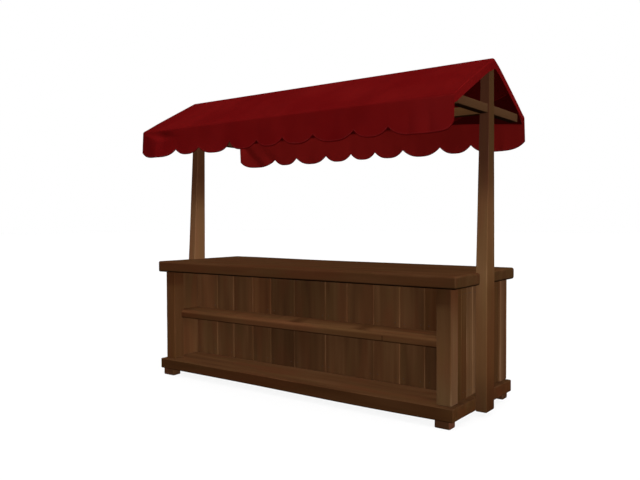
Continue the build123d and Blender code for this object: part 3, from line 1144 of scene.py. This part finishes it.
def side_point(x, side, travelled):
    """A point of the outer face: travelled is the distance from the ridge down the plain shape."""
    down = Vector((0, side * EAVE_Y / SLOPE, -(RIDGE_Z - EAVE_Z) / SLOPE))
    hang_dir = Vector((0, side * (FOOT_Y - EAVE_Y) / FALL, -(EAVE_Z - LOW_Z) / FALL))
    slope_out = Vector((0, side * (RIDGE_Z - EAVE_Z) / SLOPE, EAVE_Y / SLOPE))
    hang_out = Vector((0, side * (EAVE_Z - LOW_Z) / FALL, (FOOT_Y - EAVE_Y) / FALL))
    eave = Vector((x, side * EAVE_Y, EAVE_Z))
    past = travelled - SLOPE
    if past < -EAVE_BEND:
        spot = Vector((x, 0, RIDGE_Z)) + down * travelled
        out = slope_out
        if travelled < RIDGE_BEND:
            ease = (1 - travelled / RIDGE_BEND) ** 2
            spot.z -= RIDGE_BEND * 0.20 * ease
            out = (slope_out * (1 - 0.5 * ease) + Vector((0, 0, 1)) * ease * 0.5).normalized()
    elif past > EAVE_BEND:
        spot = eave + hang_dir * past
        out = hang_out
    else:
        t = (past + EAVE_BEND) / (2 * EAVE_BEND)
        start = eave - down * EAVE_BEND
        end = eave + hang_dir * EAVE_BEND
        spot = start * (1 - t) ** 2 + eave * 2 * t * (1 - t) + end * t ** 2
        out = (slope_out * (1 - t) + hang_out * t).normalized()
    spot -= out * fold_depth(x, past, side)
    inset = min(x - LEFT_END, RIGHT_END - x)
    bend = END_BEND
    if x > 0:
        bend += (RIDGE_END_BEND - END_BEND) * bump_at(travelled, 0.0, 0.07)
    if inset < bend:
        sunk = bend - math.sqrt(max(0.0, bend ** 2 - (bend - inset) ** 2))
        spot.z -= sunk * smooth(-past / 0.03)
    spot.x += 0.010 * max(0.0, -past / SLOPE) * smooth(1 - (RIGHT_END - x) / 0.3)
    return spot


def canopy_rows(x, side):
    """Travelled distances down one side at this X, ending on the scalloped edge."""
    length = valance(x, side)
    rows = [0.0, 0.004, 0.012]
    rows += [0.012 + (SLOPE - EAVE_BEND - 0.012) * k / SLOPE_ROWS for k in range(1, SLOPE_ROWS + 1)]
    rows += [SLOPE - EAVE_BEND + 2 * EAVE_BEND * k / BEND_ROWS for k in range(1, BEND_ROWS + 1)]
    rows += [SLOPE + EAVE_BEND + (length - EAVE_BEND) * (k / VALANCE_ROWS) ** 1.15
             for k in range(1, VALANCE_ROWS)]
    return rows + [SLOPE + length - 0.006, SLOPE + length]


def canopy_columns():
    """X of every column: dense, and with one on each cusp of both sides."""
    marks = sorted({*scallop_ends(-1), *scallop_ends(1)})
    columns = [RIGHT_END]
    for left, right in neighbours(marks):
        count = max(2, round((right - left) / 0.0125))
        columns += [left + (right - left) * k / count for k in range(count)]
    for inset in (0.0003, 0.0012, 0.0028, 0.0050, 0.0080, 0.0110):
        columns += [LEFT_END + inset, RIGHT_END - inset]
    return sorted(set(columns))


class Cloth:
    """The canopy's points, with what its canvas needs at each, and its faces."""

    def __init__(self):
        self.points = []
        self.flat = []
        self.faces = []
        self.looks = {"hem": [], "faded": [], "shade": []}

    def add(self, spot, across, along, **looks):
        """One point, with its place on the flat cloth from the middle; gives its number."""
        self.points.append(spot)
        self.flat.append((0.5 + across / CLOTH_MAP, 0.5 + along / CLOTH_MAP))
        for name, values in self.looks.items():
            values.append(looks.get(name, 0.0))
        return len(self.points) - 1

    def skin(self, rows):
        for near, far in neighbours(rows):
            for k in range(len(near) - 1):
                self.faces.append((near[k], far[k], far[k + 1], near[k + 1]))


def hang_sides(cloth):
    """Both slopes and valances, as one sheet over the ridge; gives its columns, front to back."""
    grid = []
    for x in canopy_columns():
        column = []
        for side in (-1, 1):
            rows = canopy_rows(x, side)
            for travelled in (rows[1:] if side > 0 else rows[::-1]):
                hem = max(0.0, 1 - (rows[-1] - travelled) / 0.016)
                # painted highlight near both ends of the ridge, and on the front valance near its right
                # end
                faded = 0.5 * bump_at(travelled, 0.0, 0.05) * bump_at(abs(x), END_X, 0.12)
                if travelled > SLOPE and side < 0:
                    faded = 0.85 * bump_at(x, RIGHT_END - 0.12, 0.18)
                # painted light under the slopes, and painted shade on the back valance's inner face,
                # darker towards the right
                shade = 0.0
                if travelled < SLOPE - EAVE_BEND:
                    shade = -0.45
                elif travelled > SLOPE and side > 0:
                    shade = 0.08 + 0.22 * smooth(x / 0.9)
                column.append(cloth.add(side_point(x, side, travelled), x, side * travelled,
                                        hem=hem, faded=faded, shade=shade))
        grid.append(column)
    cloth.skin(grid)
    return grid


def hang_flaps(cloth, grid):
    """The flaps that hang over both gables, joined to the front valance and tapered at the back."""
    ridge = len(canopy_rows(0.0, 1)) - 1
    front_eave = ridge - EAVE_ROW + BEND_ROWS // 2
    back_eave = ridge + EAVE_ROW - BEND_ROWS // 2
    for end, column in ((-1, grid[0]), (1, grid[-1])):
        corner = [column[front_eave - k] for k in range(FLAP_ROWS + 1)]
        drops = [cloth.points[corner[0]].z - cloth.points[k].z for k in corner]
        strip = [corner]
        for row in range(front_eave + 1, back_eave):
            top = cloth.points[column[row]]
            share = abs(top.y) / EAVE_Y
            if row < ridge:
                near_end = max(0.0, (share - 0.8) / 0.2)
                depth = 0.060 - END_BEND
            else:
                near_end = 0.0
                depth = (0.056 - 0.004 * share - END_BEND) * min(1.0, (1 - share) * EAVE_Y / 0.065) ** 0.7
            down_slope = math.copysign(share * SLOPE, top.y)
            line = [column[row]]
            for k in range(1, FLAP_ROWS + 1):
                fall = depth * k / FLAP_ROWS * (1 - near_end) + drops[k] * near_end
                sway = 0.0016 * noise.noise((top.y * 5, k * 0.2, end * 3.3)) * k / FLAP_ROWS
                spot = Vector((top.x - end * abs(sway), top.y, top.z - fall))
                # the flaps carry a little painted highlight
                line.append(cloth.add(spot, end * (END_X + fall), down_slope,
                                      hem=0.5 * k / FLAP_ROWS, faded=0.15))
            strip.append(line)
        strip.append([column[back_eave]] * (FLAP_ROWS + 1))
        for near, far in neighbours(strip):
            for k in range(FLAP_ROWS):
                ring = list(dict.fromkeys((near[k], near[k + 1], far[k + 1], far[k])))
                if len(ring) > 2:
                    cloth.faces.append(ring)


def hang_facings(cloth):
    """The hidden facings inside the right end, from just under each eave up to the slope: sheets that
    stand for the dark band of shade there, and carry painted shade.
    """
    for side in (-1, 1):
        rows = []
        for t in (k / 12 for k in range(13)):
            x = RIGHT_END - 0.012 - 0.56 * t
            sag = 0.046 * (1 - t) ** 1.25
            low = Vector((x, side * (EAVE_Y - 0.005), EAVE_Z - sag - 0.003))
            high = side_point(x, side, SLOPE - (0.27 * (1 - t) + 0.02))
            high.z -= CLOTH * 0.5
            rows.append([cloth.add(low.lerp(high, j / 4), x, side * SLOPE, shade=FACING_SHADE)
                         for j in range(5)])
        cloth.skin(rows)


def build_canopy():
    cloth = Cloth()
    hang_flaps(cloth, hang_sides(cloth))
    hang_facings(cloth)
    mesh = bpy.data.meshes.new("canopy_cloth")
    mesh.from_pydata(cloth.points, [], cloth.faces)
    uv = mesh.uv_layers.new(name="cloth")
    for loop in mesh.loops:
        uv.data[loop.index].uv = cloth.flat[loop.vertex_index]
    for name, values in cloth.looks.items():
        write(mesh, name, values)
    bm = bmesh.new()
    bm.from_mesh(mesh)
    bmesh.ops.recalc_face_normals(bm, faces=bm.faces)
    if max(bm.faces, key=lambda face: face.calc_center_median().z).normal.z < 0:
        bmesh.ops.reverse_faces(bm, faces=bm.faces)
    bm.to_mesh(mesh)
    bm.free()
    mesh.shade_smooth()
    two_slots(mesh)
    piece = link("canopy_cloth", mesh)
    thick = piece.modifiers.new("thickness", "SOLIDIFY")
    thick.thickness, thick.offset = CLOTH, -1.0
    thick.use_rim, thick.material_offset = True, 1
    piece = settled(piece)
    mesh = piece.data
    mesh.set_sharp_from_angle(angle=math.radians(50))
    # the facings count as inner faces, so their painted shade applies
    shade = mesh.attributes["shade"].data
    write(mesh, "inside", [float(face.material_index == 1
                                 or shade[face.vertices[0]].value > FACING_SHADE - 0.01)
                           for face in mesh.polygons], "FACE")
    mesh.polygons.foreach_set("material_index", [0] * len(mesh.polygons))
    return fit(piece, "canopy_canvas", CANVAS, "canopy")


def seam_paths():
    """The lines of hem stitches along the scalloped edges, on both faces of the cloth."""
    points = []
    edges = []
    for side in (-1, 1):
        for face in (STITCH_GAP, -CLOTH - STITCH_GAP):
            first = len(points)
            x = LEFT_END + 0.012
            while x < RIGHT_END - 0.012:
                spot = side_point(x, side, SLOPE + valance(x, side) - HEM_SEAM)
                spot.y += side * face
                points.append(spot)
                x += 0.010
            edges += [(k, k + 1) for k in range(first, len(points) - 1)]
    return points, edges


def build_stitches():
    stitch = turned("stitch", 6, ((0.00025, -0.0032), (0.0007, -0.0024), (0.0009, 0.0),
                                  (0.0007, 0.0024), (0.00025, 0.0032)))
    points, edges = seam_paths()
    mesh = bpy.data.meshes.new("hem_stitching")
    mesh.from_pydata(points, edges, [])
    piece = grown(link("hem_stitching", mesh), HEM_STITCHES, Stitch=stitch, Pitch=0.009, Material=THREAD)
    drop(stitch)
    piece.data.shade_smooth()
    return fit(piece, "canopy_canvas", THREAD)


# ---------------------------------------------------------------- nails

NAIL_SUNK = 0.0008       # from a panel's plain face back to its nails' places


def nail_places():
    """Where nails hold the boards: (point, facing) pairs, two to a board at each height."""
    places = []
    chance = random.Random(17)

    def nail(seams, heights, point_at, facing):
        for left, right in seams:
            inset = min(0.032, (right - left) * 0.3)
            for height in heights:
                for across in (left + inset, right - inset):
                    across += chance.uniform(-0.004, 0.004)
                    places.append((point_at(across, height + chance.uniform(-0.003, 0.003)), facing))

    (x0, x1), (y0, _), (z0, z1) = spans("inner_panel")
    seams = [x0, *INNER_SEAMS, x1]
    heights = (z1 - 0.045, cad_box["shelf"][1].z + 0.03)
    nail(neighbours(seams), heights, lambda x, z: (x, y0 + NAIL_SUNK, z), (0, -1, 0))
    seams.remove(WIDE_BELOW)
    nail(neighbours(seams), (z0 + 0.045,), lambda x, z: (x, y0 + NAIL_SUNK, z), (0, -1, 0))
    (x0, x1), (_, y1), (z0, z1) = spans("back_panel")
    seams = [(x0 + (x1 - x0) * (k + 0.12) / BACK_BOARDS, x0 + (x1 - x0) * (k + 0.88) / BACK_BOARDS)
             for k in range(BACK_BOARDS)]
    nail(seams, (z0 + 0.05, z0 + 0.36, z1 - 0.05), lambda x, z: (x, y1 - NAIL_SUNK, z), (0, 1, 0))
    (_, outer), (y0, y1), (z0, z1) = spans("end_panel_right")
    for side, inner_seams in ((-1, END_SEAMS[2:]), (1, END_SEAMS)):
        nail(neighbours([y0, *inner_seams, y1]), (z0 + 0.05, z1 - 0.05),
             lambda y, z: (side * (outer - NAIL_SUNK), y, z), (side, 0, 0))
    return places


def build_nails():
    head = turned("nail_head", 10, ((1.0, -0.35), (1.0, 0.12), (0.82, 0.34), (0.45, 0.50), (0.12, 0.55)))
    places = nail_places()
    ground = point_object("board_nails", [point for point, _ in places],
                          facing=[value for _, facing in places for value in facing])
    piece = grown(ground, NAIL_HEADS, Head=head, Smallest=0.0024, Largest=0.0032, Seed=3, Material=IRON)
    drop(head)
    piece.data.shade_smooth()
    fit(piece, "board_wood", IRON)


# ---------------------------------------------------------------- build

build_counter()
build_base()
build_inner_panel()
build_back_panel()
build_end_panels()
build_shelf()
build_feet()
build_corner_posts()
build_tall_posts()
build_rails()
build_nails()
canopy = build_canopy()
stitching = build_stitches()


# ---------------------------------------------------------------- floor, light and camera

def build_floor():
    bm = bmesh.new()
    bmesh.ops.create_grid(bm, x_segments=4, y_segments=4, size=60)
    floor = from_bmesh("floor", bm)
    floor.data.materials.append(FLOOR)


def sun(name, direction, strength, softness, shadow=False):
    """A far lamp that shines from direction towards the stall."""
    light = bpy.data.lights.new(name, "SUN")
    light.energy = strength * math.pi
    light.angle = math.radians(softness)
    light.use_shadow = shadow
    link(name, light).rotation_euler = Vector(direction).to_track_quat("Z", "Y").to_euler()


def build_light():
    sun("key", (0.92, -0.42, 0.28), 0.18, 20, shadow=True)
    sun("front_fill", (0.20, -1.0, 0.60), 0.56, 20)
    sun("side_fill", (1.0, -0.20, 0.20), 0.72, 20)
    sun("top_fill", (0.1, -0.1, 1.0), 0.22, 60)
    sun("top_key", (0.2, -0.3, 1.0), 0.15, 60, shadow=True)
    sun("back_fill", (0.0, 1.0, 0.5), 0.55, 40)
    sun("left_fill", (-1.0, 0.4, 0.3), 0.50, 40)
    world = bpy.data.worlds.new("studio")
    bpy.context.scene.world = world
    world.use_nodes = True
    world.node_tree.nodes.clear()
    bench = Bench(world.node_tree)
    backdrop = bench.add("ShaderNodeBackground", {},
                         {"Color": (1, 1, 1, 1), "Strength": 0.08 + 0.92 * bench.looked_at()})
    bench.add("ShaderNodeOutputWorld", {}, {"Surface": backdrop})


def build_camera():
    yaw, pitch, roll = (math.radians(angle) for angle in (36.516, -1.6421, -0.2422))
    ahead = Vector((-math.sin(yaw) * math.cos(pitch), math.cos(yaw) * math.cos(pitch), math.sin(pitch)))
    level = Vector((math.cos(yaw), math.sin(yaw), 0))
    raised = level.cross(ahead)
    right = level * math.cos(roll) + raised * math.sin(roll)
    up = raised * math.cos(roll) - level * math.sin(roll)
    lens = bpy.data.cameras.new("camera")
    lens.sensor_width = 36
    lens.sensor_fit = "HORIZONTAL"
    lens.lens = 37.727
    lens.clip_end = 300
    camera = link("camera", lens)
    axes = Matrix((right, up, -ahead)).transposed().to_4x4()
    camera.matrix_world = Matrix.Translation((3.11, -4.2223, 1.293)) @ axes
    bpy.context.scene.camera = camera


build_floor()
build_light()
build_camera()
bpy.context.scene.view_settings.view_transform = "Standard"
